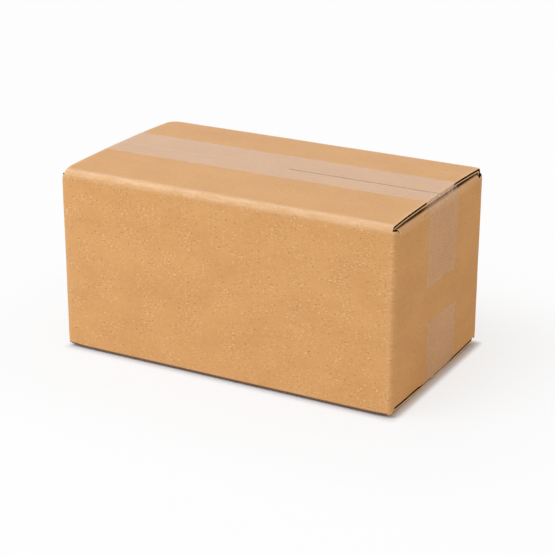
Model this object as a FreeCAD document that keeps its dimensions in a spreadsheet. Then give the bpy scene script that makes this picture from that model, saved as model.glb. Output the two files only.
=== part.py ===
import FreeCAD, Part
import math
import os
import re

import Sketcher
from FreeCAD import Placement, Rotation, Vector

# A shipping carton folded from one sheet of corrugated board and sealed with two strips of tape.
# Frame: millimetres, origin on the floor under the middle of the carton, X along its length,
# Y across its depth towards the back, Z up.

DRIVING_SIZES = [
    # The folded carton, over its outside faces.
    ("outside_length", 267.0),
    ("outside_depth", 152.0),
    ("fold_height", 138.8),
    # Single-wall board: two liners with a fluted medium between them.
    ("board_thickness", 3.0),
    ("liner_thickness", 0.35),
    ("medium_thickness", 0.2),
    ("flute_pitch", 6.5),
    ("fold_inner_radius", 0.3),
    # The long top flaps rise a little from their folds to the seam, over the inner flaps' spring.
    ("crown_rise", 1.2),
    ("crown_margin", 3.0),
    # How the flaps lie: gap at the seam, set-in of the cut ends, air between stacked flaps.
    ("seam_gap", 1.0),
    ("flap_set_in", 2.7),
    ("flap_clearance", 1.0),
    ("slot_width", 7.5),
    ("slot_overcut", 0.1),
    # The glued lap at the back left corner.
    ("lap_width", 35.0),
    ("lap_press", 0.15),
    ("lap_set_in", 1.0),
    # Clear packing tape.
    ("tape_width", 50.0),
    ("tape_thickness", 0.1),
    ("top_tape_offset", 4.0),
    ("bottom_tape_offset", 7.0),
    ("top_tail_length", 62.5),
    ("bottom_tail_length", 50.0),
]

# Sizes that follow from the driving ones. Heights are above the floor.
WORKED_SIZES = [
    ("fold_radius", "fold_inner_radius + board_thickness"),
    ("half_length", "outside_length / 2"),
    ("half_depth", "outside_depth / 2"),
    ("flap_end", "half_length - flap_set_in"),
    ("flap_reach", "half_depth - seam_gap / 2"),
    ("inner_flap_half_width", "half_depth - slot_width"),
    ("bottom_face", "tape_thickness"),
    ("top_fold_face", "bottom_face + fold_height"),
    # Outer long flap, top: a fold, a gentle bow and a level stretch under the tape.
    ("crown_half_width", "tape_width / 2 + top_tape_offset + crown_margin"),
    ("bow_run", "half_depth - fold_radius - crown_half_width"),
    ("bow_angle", "2 * atan(crown_rise / bow_run)"),
    ("bow_radius", "(bow_run + fold_radius * sin(bow_angle)) / sin(bow_angle)"),
    ("top_fold_centre", "top_fold_face - fold_radius"),
    ("top_face",
     "top_fold_centre + fold_radius * cos(bow_angle) + bow_radius * (1 - cos(bow_angle))"),
    # Inner end flaps lie one board and a clearance inside the long ones.
    ("stack_step", "board_thickness + flap_clearance"),
    ("top_inner_face", "top_fold_face - stack_step"),
    ("bottom_inner_face", "bottom_face + stack_step"),
    ("top_slot_floor", "top_inner_face - fold_radius - slot_overcut"),
    ("bottom_slot_floor", "bottom_inner_face + fold_radius + slot_overcut"),
    ("bottom_fold_centre", "bottom_face + fold_radius"),
    # A cut parallel to the flutes opens one of them: from a liner with the medium on it, the
    # medium slants across the board and meets the other liner half a flute further in.
    ("edge_void_depth", "flute_pitch / 2"),
    ("backed_liner", "liner_thickness + medium_thickness"),
    ("void_bottom", "board_thickness - backed_liner"),
    # Where the lap's fold meets the panel that it is glued to.
    ("lap_fold_centre", "half_depth - board_thickness + lap_press - fold_radius"),
    ("lap_contact", "sqrt(fold_radius ^ 2 - (fold_radius - lap_press) ^ 2)"),
    # The tape bridges from the cut end of the long flaps to the fold of the end flap, where it
    # lands at a tangent: land_angle is how far round that fold it lands.
    ("top_bridge_rise", "top_face - (top_inner_face - fold_radius)"),
    ("bottom_bridge_rise", "bottom_inner_face + fold_radius - bottom_face"),
    ("bridge_run", "fold_radius - flap_set_in"),
    ("top_land_angle",
     "90 deg - atan(bridge_run / top_bridge_rise)"
     " - acos(fold_radius / sqrt(top_bridge_rise ^ 2 + bridge_run ^ 2))"),
    ("bottom_land_angle",
     "90 deg - atan(bridge_run / bottom_bridge_rise)"
     " - acos(fold_radius / sqrt(bottom_bridge_rise ^ 2 + bridge_run ^ 2))"),
    ("top_tail_end", "top_face - top_tail_length"),
    ("bottom_tail_end", "bottom_face + bottom_tail_length"),
]


def make_sheet(doc):
    """The sizes, one to a row: name, value and an alias of the same name."""
    sheet = doc.addObject("Spreadsheet::Sheet", "sizes")
    worked = [(name, "=" + text) for name, text in WORKED_SIZES]
    for row, (name, content) in enumerate(DRIVING_SIZES + worked, start=1):
        sheet.set(f"A{row}", name)
        sheet.set(f"B{row}", str(content))
        sheet.setAlias(f"B{row}", name)
    doc.recompute()
    return sheet


def bound(text):
    """An expression with each size's name led by the sheet's."""
    names = {name for name, _ in DRIVING_SIZES + WORKED_SIZES}
    return re.sub(r"\w+", lambda m: ("sizes." if m[0] in names else "") + m[0], text)


def add_sketch(body, name, role, offset="0"):
    """A sketch on one of the body's own planes, offset along the plane's normal."""
    plane = next(f for f in body.Origin.OriginFeatures if f.Role == role)
    sketch = body.newObject("Sketcher::SketchObject", name)
    sketch.AttachmentSupport = [(plane, "")]
    sketch.MapMode = "FlatFace"
    height = sketch.evalExpression(bound(offset))
    sketch.AttachmentOffset = Placement(Vector(0, 0, height), Rotation())
    sketch.setExpression("AttachmentOffset.Base.z", bound(offset))
    return sketch


def hold(sketch, kind, geometry, point, text):
    """Hold one coordinate of a point of the sketch at an expression's value."""
    value = float(sketch.evalExpression(bound(text)))
    if abs(value) < 1e-9:
        axis = -2 if kind == "DistanceX" else -1
        sketch.addConstraint(Sketcher.Constraint("PointOnObject", geometry, point, axis))
        return
    index = sketch.addConstraint(Sketcher.Constraint(kind, -1, 1, geometry, point, value))
    sketch.setExpression(f"Constraints[{index}]", bound(text))


def add_outline(sketch, corners):
    """A closed outline through corners of (x, y), or (x, y, (centre x, centre y, radius)).

    The third entry makes an arc of the stretch that starts at that corner. All entries are
    expressions in the names of sizes.
    """
    def number(text):
        return float(sketch.evalExpression(bound(text)))

    places = [Vector(number(corner[0]), number(corner[1]), 0) for corner in corners]
    ends = []
    for index, corner in enumerate(corners):
        start, finish = places[index], places[(index + 1) % len(corners)]
        if len(corner) == 2:
            geometry = sketch.addGeometry(Part.LineSegment(start, finish))
            ends.append((geometry, 1, 2))
            continue
        centre_x, centre_y, radius = corner[2]
        centre = Vector(number(centre_x), number(centre_y), 0)
        leftward = (start - centre).cross(finish - centre).z > 0
        first, last = (start, finish) if leftward else (finish, start)
        circle = Part.Circle(centre, Vector(0, 0, 1), number(radius))
        angles = [math.atan2((p - centre).y, (p - centre).x) for p in (first, last)]
        geometry = sketch.addGeometry(Part.ArcOfCircle(circle, angles[0], angles[1]))
        ends.append((geometry, 1, 2) if leftward else (geometry, 2, 1))
        held = sketch.addConstraint(Sketcher.Constraint("Radius", geometry, number(radius)))
        sketch.setExpression(f"Constraints[{held}]", bound(radius))
    for index, corner in enumerate(corners):
        geometry, start, finish = ends[index]
        following, following_start, _ = ends[(index + 1) % len(ends)]
        sketch.addConstraint(
            Sketcher.Constraint("Coincident", geometry, finish, following, following_start))
        hold(sketch, "DistanceX", geometry, start, corner[0])
        hold(sketch, "DistanceY", geometry, start, corner[1])


def add_pad(body, name, sketch, length, symmetric=False):
    pad = body.newObject("PartDesign::Pad", name)
    pad.Profile = sketch
    pad.SideType = "Symmetric" if symmetric else "One side"
    pad.setExpression("Length", bound(length))
    body.Document.recompute()
    return pad


def add_mirror(body, name, originals, role):
    """Copies of features on the other side of one of the body's planes."""
    plane = next(f for f in body.Origin.OriginFeatures if f.Role == role)
    mirror = body.newObject("PartDesign::Mirrored", name)
    mirror.Originals = originals
    mirror.MirrorPlane = (plane, [""])
    body.Tip = mirror
    body.Document.recompute()
    return mirror


def wall_outlines():
    """Outside and inside of the four panels, seen from above.

    Three corners are plain folds. At the back left one the sheet's two ends meet: the end panel
    folds into the lap, and the back panel's free edge stands over it.
    """
    lap_corner = ("-half_length + fold_radius", "lap_fold_centre")
    corner_x, corner_y = "half_length - fold_radius", "half_depth - fold_radius"

    def folds(radius):
        return {
            "front_left": (f"-({corner_x})", f"-({corner_y})", radius),
            "front_right": (corner_x, f"-({corner_y})", radius),
            "back_right": (corner_x, corner_y, radius),
            "lap": (*lap_corner, radius),
        }

    outer = folds("fold_radius")
    outside = [
        ("-half_length", f"-({corner_y})", outer["front_left"]),
        (f"-({corner_x})", "-half_depth"),
        (corner_x, "-half_depth", outer["front_right"]),
        ("half_length", f"-({corner_y})"),
        ("half_length", corner_y, outer["back_right"]),
        (corner_x, "half_depth"),
        ("-half_length + lap_set_in", "half_depth"),
        ("-half_length + lap_set_in", "half_depth - board_thickness"),
        ("-half_length + fold_radius - lap_contact", "half_depth - board_thickness", outer["lap"]),
        ("-half_length", "lap_fold_centre"),
    ]
    inner = folds("fold_inner_radius")
    inner_x, inner_y = "half_length - board_thickness", "half_depth - board_thickness"
    inside = [
        (f"-({inner_x})", f"-({corner_y})", inner["front_left"]),
        (f"-({corner_x})", f"-({inner_y})"),
        (corner_x, f"-({inner_y})", inner["front_right"]),
        (inner_x, f"-({corner_y})"),
        (inner_x, corner_y, inner["back_right"]),
        (corner_x, inner_y),
        ("-half_length + lap_width", inner_y),
        ("-half_length + lap_width", "lap_fold_centre + fold_inner_radius"),
        ("-half_length + fold_radius", "lap_fold_centre + fold_inner_radius", inner["lap"]),
        (f"-({inner_x})", "lap_fold_centre"),
    ]
    return outside, inside


def crowned_flap_outline(outer_inset="0", inner_inset="0"):
    """Section of the back panel's top and its long flap, inset from the faces of the board."""
    outer, inner = f"fold_radius - {outer_inset}", f"fold_inner_radius + {inner_inset}"
    top = f"top_face - {outer_inset}"
    under = f"top_face - board_thickness + {inner_inset}"
    fold = ("half_depth - fold_radius", "top_fold_centre")
    bow = ("crown_half_width", "top_face - bow_radius")
    return [
        (f"half_depth - {outer_inset}", "top_fold_centre", (*fold, outer)),
        (f"{fold[0]} + ({outer}) * sin(bow_angle)", f"{fold[1]} + ({outer}) * cos(bow_angle)",
         (*bow, f"bow_radius - {outer_inset}")),
        ("crown_half_width", top),
        ("seam_gap / 2", top),
        ("seam_gap / 2", under),
        ("crown_half_width", under, (*bow, f"bow_radius - board_thickness + {inner_inset}")),
        (f"{fold[0]} + ({inner}) * sin(bow_angle)", f"{fold[1]} + ({inner}) * cos(bow_angle)",
         (*fold, inner)),
        (f"half_depth - board_thickness + {inner_inset}", "top_fold_centre"),
    ]


def level_flap_outline(wall, reach, face, start, way, outer_inset="0", inner_inset="0"):
    """Section of a panel's end and its level flap, inset from the faces of the board.

    wall is the panel's outer face, reach where the flap stops, face the flap's outer face, start
    the height at which the section leaves the panel, and way is + where the flap's outer face
    looks down, - where it looks up.
    """
    centre = (f"{wall} - fold_radius", f"{face} {way} fold_radius")
    outer, inner = f"fold_radius - {outer_inset}", f"fold_inner_radius + {inner_inset}"
    near, far = f"{face} {way} {outer_inset}", f"{face} {way} (board_thickness - {inner_inset})"
    panel_outside = f"{wall} - {outer_inset}"
    panel_inside = f"{wall} - board_thickness + {inner_inset}"
    bend = [
        (panel_outside, centre[1], (*centre, outer)),
        (centre[0], near),
        (reach, near),
        (reach, far),
        (centre[0], far, (*centre, inner)),
        (panel_inside, centre[1]),
    ]
    if start == centre[1]:
        return bend
    return [(panel_outside, start), *bend, (panel_inside, start)]


def slot_outline(face, floor, fold_centre):
    """What the slots take from an end panel: level under the flap, slanting to the corners."""
    corner, foot = "half_depth - board_thickness", "inner_flap_half_width"
    return [
        (f"-({corner})", face),
        (f"-({corner})", fold_centre),
        (f"-{foot}", floor),
        (foot, floor),
        (corner, fold_centre),
        (corner, face),
    ]


def cut_slots(body, name, outline):
    """Cut the corner slots through both end panels at once."""
    sketch = add_sketch(body, name + "_outline", "YZ_Plane")
    add_outline(sketch, outline)
    before = body.Shape.Volume
    pocket = body.newObject("PartDesign::Pocket", name)
    pocket.Profile = sketch
    pocket.SideType = "Symmetric"
    pocket.setExpression("Length", bound("outside_length + 2 * board_thickness"))
    body.Document.recompute()
    if not before - body.Shape.Volume > 1.0:
        raise RuntimeError(name + " cut nothing")


def open_cut_edge(body, name, role, cut_plane, inward, outline):
    """Open the flute that a cut edge runs along: wide at the cut, closed by the slanting medium."""
    sections = []
    for part, depth, insets in (
            ("mouth", "0", ("backed_liner", "liner_thickness")),
            ("foot", "edge_void_depth", ("void_bottom", "liner_thickness"))):
        sketch = add_sketch(body, f"{name}_{part}", role, f"{cut_plane} {inward} {depth}")
        add_outline(sketch, outline(*insets))
        sections.append(sketch)
    before = body.Shape.Volume
    loft = body.newObject("PartDesign::SubtractiveLoft", name)
    loft.Profile = sections[0]
    loft.Sections = sections[1:]
    loft.Ruled = True
    body.Document.recompute()
    if not before - body.Shape.Volume > 1.0:
        raise RuntimeError(name + " cut nothing")
    return loft


def make_carton(doc):
    body = doc.addObject("PartDesign::Body", "carton")

    walls_sketch = add_sketch(body, "walls_outline", "XY_Plane", "bottom_fold_centre")
    for outline in wall_outlines():
        add_outline(walls_sketch, outline)
    add_pad(body, "walls", walls_sketch, "top_fold_centre - bottom_fold_centre")
    cut_slots(body, "top_slots", slot_outline("top_face", "top_slot_floor", "top_fold_centre"))
    cut_slots(body, "bottom_slots",
              slot_outline("bottom_face", "bottom_slot_floor", "bottom_fold_centre"))

    # Inner flaps, on the end panels. Their cut sides show at the slots.
    def inner_flap(face, start, way):
        return lambda *insets: level_flap_outline(
            "half_length", "half_length - flap_reach", face, start, way, *insets)

    inner_flaps = {
        "top_inner": inner_flap("top_inner_face", "top_slot_floor", "-"),
        "bottom_inner": inner_flap("bottom_inner_face", "bottom_slot_floor", "+"),
    }
    pads = []
    for name, outline in inner_flaps.items():
        sketch = add_sketch(body, name + "_flap_outline", "XZ_Plane")
        add_outline(sketch, outline())
        pads.append(add_pad(body, name + "_flap", sketch, "2 * inner_flap_half_width", symmetric=True))
    add_mirror(body, "inner_flaps_left", pads, "YZ_Plane")

    # Outer flaps, on the long panels, meeting at the seam. Their cut ends show at both ends.
    def bottom_outer_flap(*insets):
        return level_flap_outline(
            "half_depth", "seam_gap / 2", "bottom_face", "bottom_face + fold_radius", "+", *insets)

    outer_flaps = {"top_outer": crowned_flap_outline, "bottom_outer": bottom_outer_flap}
    pads = []
    for name, outline in outer_flaps.items():
        sketch = add_sketch(body, name + "_flap_outline", "YZ_Plane")
        add_outline(sketch, outline())
        pads.append(add_pad(body, name + "_flap", sketch, "2 * flap_end", symmetric=True))
    add_mirror(body, "outer_flaps_front", pads, "XZ_Plane")

    # The flutes that the cut edges open, at the right end and then mirrored to the left one. The
    # XZ plane's normal points to the front.
    voids = []
    for name, outline in inner_flaps.items():
        for side, sign, inward in (("front", "", "-"), ("back", "-", "+")):
            voids.append(open_cut_edge(body, f"{name}_{side}_void", "XZ_Plane",
                                       sign + "inner_flap_half_width", inward, outline))
    add_mirror(body, "inner_voids_left", voids, "YZ_Plane")
    voids = []
    for name, outline in outer_flaps.items():
        for side, sign, inward in (("right", "", "-"), ("left", "-", "+")):
            voids.append(open_cut_edge(body, f"{name}_{side}_void", "YZ_Plane",
                                       sign + "flap_end", inward, outline))
    add_mirror(body, "outer_voids_front", voids, "XZ_Plane")
    return body


def tape_outline(face, inner_face, land_angle, tail_end, way):
    """Half of a strip's section: along the flaps, over their cut ends and on to the end panel.

    way is + where the strip lies on top of the carton and - where it lies under it.
    """
    inward = "-" if way == "+" else "+"
    fold_x, fold_z = "half_length - fold_radius", f"({inner_face} {inward} fold_radius)"
    outer = "(fold_radius + tape_thickness)"
    over = f"{face} {way} tape_thickness"
    return [
        ("0", face),
        ("flap_end", face),
        (f"{fold_x} + fold_radius * cos({land_angle})",
         f"{fold_z} {way} fold_radius * sin({land_angle})", (fold_x, fold_z, "fold_radius")),
        ("half_length", fold_z),
        ("half_length", tail_end),
        ("half_length + tape_thickness", tail_end),
        ("half_length + tape_thickness", fold_z, (fold_x, fold_z, outer)),
        (f"{fold_x} + {outer} * cos({land_angle})", f"{fold_z} {way} {outer} * sin({land_angle})"),
        (f"flap_end + tape_thickness * (1 - sin({land_angle})) / cos({land_angle})", over),
        ("0", over),
    ]


def make_tape(doc, name, offset, outline):
    body = doc.addObject("PartDesign::Body", name)
    # The plane's normal points to the front, so the pad's offset is against it.
    sketch = add_sketch(body, name + "_outline", "XZ_Plane", f"-{offset} - tape_width / 2")
    add_outline(sketch, outline)
    strip = add_pad(body, name + "_right", sketch, "tape_width")
    add_mirror(body, name + "_left", [strip], "YZ_Plane")
    return body


def check(doc, bodies):
    """Stop before anything is written if an object failed or a piece is not a sound solid."""
    failed = [o.Name for o in doc.Objects if "Invalid" in o.State or "Error" in o.State]
    if failed:
        raise RuntimeError("failed objects: " + ", ".join(failed))
    for body in bodies:
        shape = body.Shape
        if shape.isNull() or not shape.isValid() or len(shape.Solids) != 1:
            raise RuntimeError(body.Label + " is not one valid solid")
        box = shape.BoundBox
        print(f"{body.Label}: {shape.Volume / 1000:.2f} cm3, X {box.XMin:.2f}..{box.XMax:.2f},"
              f" Y {box.YMin:.2f}..{box.YMax:.2f}, Z {box.ZMin:.2f}..{box.ZMax:.2f}")


def main():
    doc = FreeCAD.newDocument("carton")
    make_sheet(doc)
    top = tape_outline("top_face", "top_inner_face", "top_land_angle", "top_tail_end", "+")
    bottom = tape_outline(
        "bottom_face", "bottom_inner_face", "bottom_land_angle", "bottom_tail_end", "-")
    bodies = [
        make_carton(doc),
        make_tape(doc, "tape_top", "top_tape_offset", top),
        make_tape(doc, "tape_bottom", "bottom_tape_offset", bottom),
    ]
    doc.recompute()
    check(doc, bodies)
    os.makedirs("parts", exist_ok=True)
    for body in bodies:
        body.Shape.exportStep(os.path.join("parts", body.Label + ".step"))


main()
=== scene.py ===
import math

import bmesh
import bpy
from mathutils import Matrix, Vector, noise


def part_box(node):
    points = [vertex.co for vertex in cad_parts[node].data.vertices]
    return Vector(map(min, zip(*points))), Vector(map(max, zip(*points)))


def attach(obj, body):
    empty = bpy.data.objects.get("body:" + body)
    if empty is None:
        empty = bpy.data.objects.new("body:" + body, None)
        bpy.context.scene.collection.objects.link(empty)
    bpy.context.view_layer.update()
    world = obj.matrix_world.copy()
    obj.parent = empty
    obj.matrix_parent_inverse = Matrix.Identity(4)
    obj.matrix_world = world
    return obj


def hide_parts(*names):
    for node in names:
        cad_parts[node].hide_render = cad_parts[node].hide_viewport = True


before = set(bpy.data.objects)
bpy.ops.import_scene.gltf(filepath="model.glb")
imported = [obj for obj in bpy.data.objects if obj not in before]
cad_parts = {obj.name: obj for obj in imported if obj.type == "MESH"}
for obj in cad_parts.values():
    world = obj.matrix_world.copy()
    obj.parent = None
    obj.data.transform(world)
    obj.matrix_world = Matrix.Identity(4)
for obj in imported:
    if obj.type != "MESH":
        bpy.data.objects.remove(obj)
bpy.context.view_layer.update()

# The looks of a taped shipping carton. Sizes are in millimetres, with the row's axes: X along the
# carton, Y to the back, Z up. A mesh turns them to metres when it is made.
METRES_PER_MM = 0.001

carton_low, carton_high = (corner / METRES_PER_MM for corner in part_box("carton"))
HALF_LENGTH = carton_high.x
HALF_DEPTH = carton_high.y
BOTTOM_FACE = carton_low.z
TOP_FACE = carton_high.z

# The board: two liners, a fluted medium between them, and folds with a small radius inside.
BOARD = 3.0
LINER = 0.35
MEDIUM = 0.2
FLUTE_PITCH = 6.5
FOLD_RADIUS = 3.3
CROWN_RISE = 1.2
CROWN_HALF_WIDTH = 32.0
SEAM_GAP = 0.55
FLAP_SET_IN = 2.7
STACK_STEP = BOARD + 1.0
SLOT_WIDTH = 7.5
LAP_WIDTH = 35.0
LAP_PRESS = 0.15
LAP_SET_IN = 1.0

# The cut edges: how deep the fluting lies behind them, and the lips that the knife leaves, as
# how tall they are and how wide their chamfers.
CUT_RECESS = 2.0
UPPER_LIP = 0.5
LOWER_LIP = 0.65
FOOT_LIP = 1.0
LIP_CHAMFER = 0.35
FOOT_CHAMFER = 0.12
SEAM_CHAMFER = 0.1
FLANK_START = 0.6
FLANK_STEPS = 6

# How handling has moved the sheet from its true shape. Each is too small for the solids.
WAVE_DEPTH = 0.16
WAVE_SIZES = (46.0, 19.0)
SPRING_LIFT = 0.7
SPRING_SPAN = (46.0, 72.0)
SPRING_HEIGHT = 30.0
END_CURL = 0.5
CURL_FROM = 116.0
CORNER_REACH = 11.0
LEFT_CORNER_PRESS = 1.4
SLIGHT_CORNER_PRESS = 0.3
CORNER_FOOT = 2.2
BACK_CORNER_FOOT = 1.2
BACK_CORNER_DROP = 1.8

# The tape: its film, its gloss, where its middle runs, and how far its ends reach on the end
# panels. It dips into the seam's gap, least at the left end and most at the right. The seam's edges
# are pale up to SEAM_DARK_FROM and from there on show their fluting, painted dark as shade.
TAPE_WIDTH = 50.0
FILM = 0.045
FILM_LIFT = 0.015
TAPE_ROOM = 0.1
SEAM_DIP = (0.06, 0.28)
SEAM_DARK_FROM = 12.0
TOP_GLOSS = 0.6
TAIL_GLOSS = 0.06
TOP_TAPE_OFFSET = 4.0
BOTTOM_TAPE_OFFSET = 7.0
TOP_TAIL_END = 77.6
BOTTOM_TAIL_END = 50.1

# How pale the folds are, from 0 to 1: the long top ones (front, back) and the others. The paling
# is partly real crease wear and partly a painted highlight, strongest on the front top fold and
# less on the back one, as the light falls on them. The widths are how far it reaches from a fold,
# a foot or a cut edge.
LONG_WEAR_AND_HIGHLIGHT = (1.0, 0.3)
END_WEAR = 0.4
FOOT_WEAR = 0.3
UPRIGHT_WEAR = 0.12
LOW_WEAR = 0.05
CUT_WEAR = 0.6
FOLD_WEAR_WIDTH = 3.5
FOOT_WEAR_WIDTH = 2.0
CUT_WEAR_WIDTH = 1.8

# How much the sheet shines, and how dark painted shade makes the underside, from 0 to 1.
TOP_POLISH = 0.85
LONG_POLISH = 0.30
END_POLISH = 0.12
UNDER_SHADE = 0.85

# Material slots of the carton.
SHEET, EDGE, FLUTE = range(3)

# A normal's part above this means that the sheet is flat there. NEAR is for comparing places.
FLAT = 0.9999
NEAR = 1e-6

# Mesh steps.
PANEL_STEP = 3.0
ARC_STEPS = 8
WALL_ROWS = 44
FILM_STEP = 1.25
FLUTING_STEP = 0.45
FLUTING_INSET = 4.0

FLAP_END = HALF_LENGTH - FLAP_SET_IN
INNER_HALF_WIDTH = HALF_DEPTH - SLOT_WIDTH
TOP_FOLD_FACE = TOP_FACE - CROWN_RISE
TOP_FOLD_CENTRE = TOP_FOLD_FACE - FOLD_RADIUS
BOTTOM_FOLD_CENTRE = BOTTOM_FACE + FOLD_RADIUS
TOP_INNER_FACE = TOP_FOLD_FACE - STACK_STEP
BOTTOM_INNER_FACE = BOTTOM_FACE + STACK_STEP
TOP_SLOT_FLOOR = TOP_INNER_FACE - FOLD_RADIUS
BOTTOM_SLOT_FLOOR = BOTTOM_INNER_FACE + FOLD_RADIUS
INNER_REACH = HALF_DEPTH - SEAM_GAP / 2
MIDDLE_HEIGHT = (TOP_FACE + BOTTOM_FACE) / 2


# Materials

def paint(hex_text):
    """A colour written as sRGB hex, as the linear values that a shader takes."""
    channels = [int(hex_text[i:i + 2], 16) / 255 for i in (1, 3, 5)]
    linear = [c / 12.92 if c <= 0.04045 else ((c + 0.055) / 1.055) ** 2.4 for c in channels]
    return (*linear, 1.0)


def add_node(tree, kind, inputs=None, **settings):
    """A node with its settings. Each input, by name or number, takes a value or a socket."""
    node = tree.nodes.new(kind)
    for name, value in settings.items():
        setattr(node, name, value)
    for name, value in (inputs or {}).items():
        if isinstance(value, bpy.types.NodeSocket):
            tree.links.new(value, node.inputs[name])
        else:
            node.inputs[name].default_value = value
    return node


def new_material(name):
    material = bpy.data.materials.new(name)
    material.use_nodes = True
    material.node_tree.nodes.clear()
    return material, material.node_tree


def kraft_liner_material():
    """Unbleached kraft linerboard, machine-made and calendered.

    It gives the eye a warm tan, clouded at a few centimetres, with short light and dark fibres
    along the machine direction, a trace of the flutes below, and paler folds where it was creased:
    partly real crease wear and partly a painted highlight on the long top folds. Painted shade
    darkens it under the long flaps' ends and on the undersides.
    """
    material, tree = new_material("kraft_linerboard_calendered")
    blank = add_node(tree, "ShaderNodeUVMap", uv_map="blank").outputs["UV"]
    scuff = add_node(tree, "ShaderNodeAttribute", attribute_name="scuff").outputs["Fac"]
    fold = add_node(tree, "ShaderNodeAttribute", attribute_name="fold").outputs["Fac"]
    polish = add_node(tree, "ShaderNodeAttribute", attribute_name="polish").outputs["Fac"]

    def pattern(size_along, size_across, detail, roughness):
        """Noise with features of these sizes in millimetres, along and across the machine."""
        place = add_node(tree, "ShaderNodeVectorMath", {
            0: blank, 1: (1 / size_along, 1 / size_across, 1.0)}, operation="MULTIPLY")
        return add_node(tree, "ShaderNodeTexNoise", {
            "Vector": place.outputs["Vector"], "Scale": 1.0, "Detail": detail,
            "Roughness": roughness}, noise_dimensions="2D").outputs["Fac"]

    def spread(value, low, high, to_low=0.0, to_high=1.0):
        return add_node(tree, "ShaderNodeMapRange", {
            "Value": value, "From Min": low, "From Max": high,
            "To Min": to_low, "To Max": to_high}).outputs["Result"]

    def times(one, other):
        return add_node(tree, "ShaderNodeMath", {0: one, 1: other}, operation="MULTIPLY").outputs[0]

    def blend(factor, below, above):
        return add_node(tree, "ShaderNodeMix", {
            "Factor": factor, 6: below, 7: above}, data_type="RGBA").outputs[2]

    clouds = spread(pattern(38.0, 24.0, 3.0, 0.55), 0.3, 0.7)
    patches = spread(pattern(6.5, 4.0, 3.0, 0.6), 0.35, 0.68)
    light_fibres = spread(pattern(2.4, 1.1, 3.0, 0.7), 0.58, 0.71)
    dark_fibres = spread(pattern(2.0, 1.0, 3.0, 0.7), 0.40, 0.27)
    shives = spread(pattern(2.6, 1.4, 1.0, 0.5), 0.74, 0.79)
    rubbed = spread(pattern(14.0, 1.6, 4.0, 0.7), 0.42, 0.62)

    colour = blend(clouds, paint("#d39a5d"), paint("#daa264"))
    colour = blend(times(patches, 0.30), colour, paint("#dfab71"))
    bunched = times(scuff, spread(pattern(17.0, 11.0, 3.0, 0.6), 0.40, 0.62, 0.16, 1.0))
    colour = blend(times(times(light_fibres, bunched), 0.95), colour, paint("#f4d0a2"))
    colour = blend(times(times(dark_fibres, bunched), 0.90), colour, paint("#9d6938"))
    colour = blend(times(shives, 0.55), colour, paint("#85582f"))
    # Paler folds: partly real crease wear, partly a painted highlight, most on the front top fold.
    worn = times(fold, spread(rubbed, 0.0, 1.0, 0.55, 1.0))
    colour = blend(times(worn, 0.75), colour, paint("#efc79b"))
    # Painted shade: dark brown under the long flaps' ends and on the undersides by the bottom
    # folds.
    shade = add_node(tree, "ShaderNodeAttribute", attribute_name="shade").outputs["Fac"]
    colour = blend(times(shade, 0.9), colour, paint("#4a2610"))

    u = add_node(tree, "ShaderNodeSeparateXYZ", {0: blank}).outputs["X"]
    phase = times(u, 2 * math.pi / FLUTE_PITCH)
    flutes = add_node(tree, "ShaderNodeMath", {0: phase}, operation="SINE").outputs[0]
    fibre_relief = pattern(1.2, 0.5, 4.0, 0.65)
    relief = add_node(tree, "ShaderNodeMath", {
        0: flutes, 1: 0.009, 2: times(fibre_relief, 0.05)}, operation="MULTIPLY_ADD").outputs[0]
    bump = add_node(tree, "ShaderNodeBump", {
        "Height": relief, "Strength": 1.0, "Distance": METRES_PER_MM}).outputs["Normal"]
    shader = add_node(tree, "ShaderNodeBsdfPrincipled", {
        "Base Color": colour, "Roughness": spread(patches, 0.0, 1.0, 0.56, 0.68),
        "IOR": 1.5, "Specular IOR Level": polish, "Normal": bump})
    add_node(tree, "ShaderNodeOutputMaterial", {"Surface": shader.outputs["BSDF"]})
    return material


def cut_edge_material():
    """Kraft board, die-cut.

    It gives the eye raw fibre along the liners' edges, matte and paler than the sheet.
    """
    material, tree = new_material("kraft_board_die_cut_edge")
    place = add_node(tree, "ShaderNodeTexCoord").outputs["Object"]
    fuzz = add_node(tree, "ShaderNodeTexNoise", {
        "Vector": place, "Scale": 1 / (0.8 * METRES_PER_MM), "Detail": 3.0}).outputs["Fac"]
    colour = add_node(tree, "ShaderNodeMix", {
        "Factor": fuzz, 6: paint("#f8c48a"), 7: paint("#ffdfb4")}, data_type="RGBA").outputs[2]
    bump = add_node(tree, "ShaderNodeBump", {
        "Height": fuzz, "Strength": 0.6, "Distance": 0.1 * METRES_PER_MM}).outputs["Normal"]
    shader = add_node(tree, "ShaderNodeBsdfPrincipled", {
        "Base Color": colour, "Roughness": 0.85, "IOR": 1.5, "Specular IOR Level": 0.2,
        "Normal": bump})
    add_node(tree, "ShaderNodeOutputMaterial", {"Surface": shader.outputs["BSDF"]})
    return material


def fluting_painted_shade_material():
    """Recycled fluting medium, corrugated hot.

    It gives the eye thin, dull paper, painted far darker than the medium is as shade, so that an
    open flute reads deep.
    """
    material, tree = new_material("fluting_medium_painted_shade")
    place = add_node(tree, "ShaderNodeTexCoord").outputs["Object"]
    grain = add_node(tree, "ShaderNodeTexNoise", {
        "Vector": place, "Scale": 1 / (1.1 * METRES_PER_MM), "Detail": 4.0}).outputs["Fac"]
    # Painted shade: near-black browns stand for the dark inside the flutes.
    colour = add_node(tree, "ShaderNodeMix", {
        "Factor": grain, 6: paint("#3f1a05"), 7: paint("#602e0d")}, data_type="RGBA").outputs[2]
    shader = add_node(tree, "ShaderNodeBsdfPrincipled", {
        "Base Color": colour, "Roughness": 0.9, "IOR": 1.5, "Specular IOR Level": 0.1})
    add_node(tree, "ShaderNodeOutputMaterial", {"Surface": shader.outputs["BSDF"]})
    return material


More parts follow.
